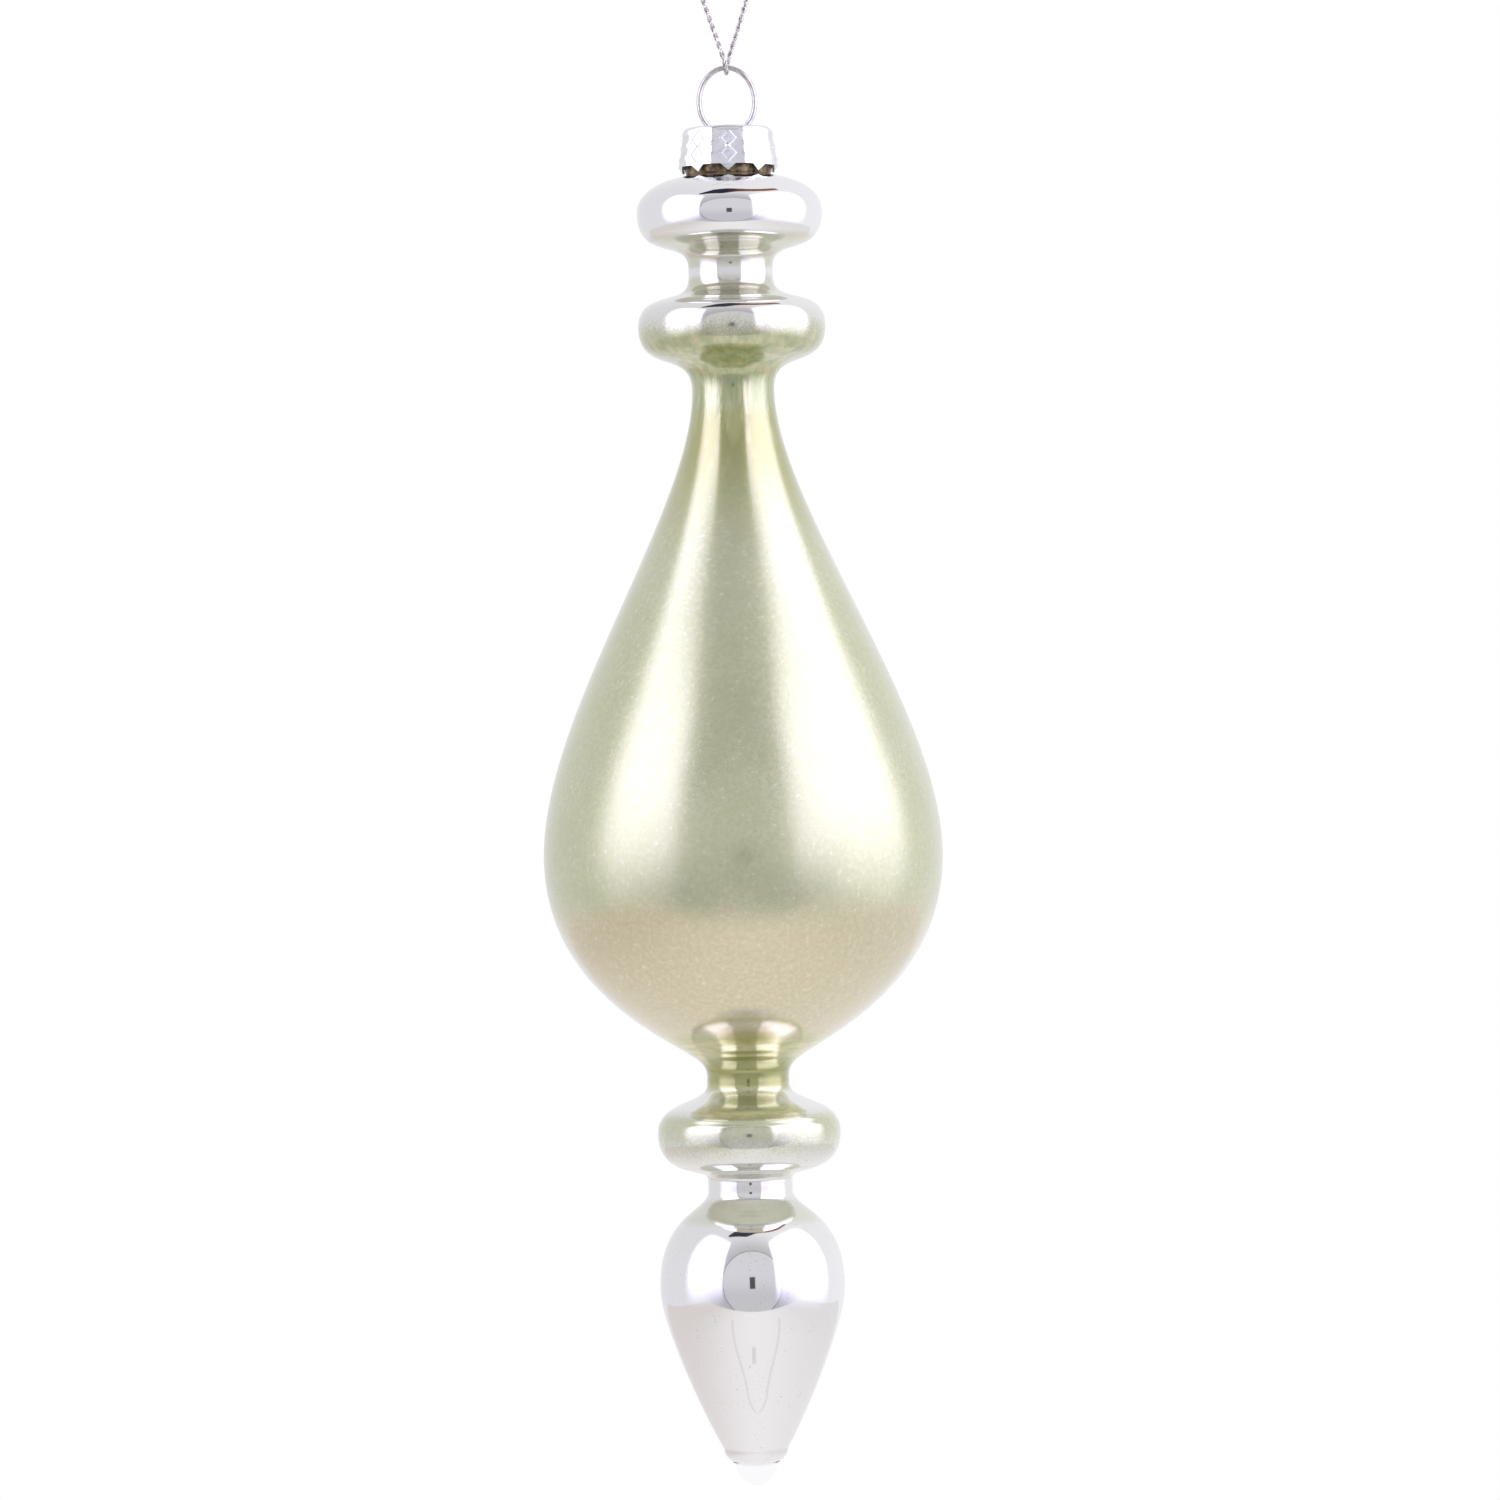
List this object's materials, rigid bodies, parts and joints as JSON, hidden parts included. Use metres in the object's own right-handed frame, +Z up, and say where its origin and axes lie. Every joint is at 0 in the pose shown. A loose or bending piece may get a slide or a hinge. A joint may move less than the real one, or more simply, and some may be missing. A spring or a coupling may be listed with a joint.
{
  "type": "teardrop ornament",
  "caption": "Blown-glass teardrop finial ornament with a stamped cap, a wire hanger and a loop of hanging thread.",
  "frame": {"origin": "where the loop of thread hangs, at the inside top of the loop", "axes": "+Z up along the ornament's axis, the eye of the wire in the XZ plane, and the side that the picture shows faces -Y"},
  "size_m": [0.0638, 0.0638, 0.2832],
  "materials": {
    "silver_thread": "two-ply twisted metallic thread, silver",
    "spring_wire": "bright drawn spring wire",
    "cap_metal": "bright stamped sheet with pressed diamonds",
    "mirrored_glass": "blown glass silvered inside, with a pale green pearl lacquer on the teardrop that fades to plain silver above and below it",
    "clear_glass": "clear solid glass at the very tip, without silvering"
  },
  "bodies": {
    "cord": {"hanging_cord": "silver_thread", "cord_knot": "silver_thread"},
    "hanger": {"wire_hanger": "spring_wire", "cap": "cap_metal"},
    "ornament": {"glass_body": "mirrored_glass"}
  },
  "joints": [
    {"name": "ring_swing", "type": "hinge", "parent": "cord", "child": "hanger", "pos_m": [0, 0, -0.049], "axis": [1, 0, 0], "range_deg": [-80, 80]},
    {"name": "neck_pull", "type": "slide", "parent": "hanger", "child": "ornament", "axis": [0, 0, -1], "range_m": [0, 0.018]}
  ]
}
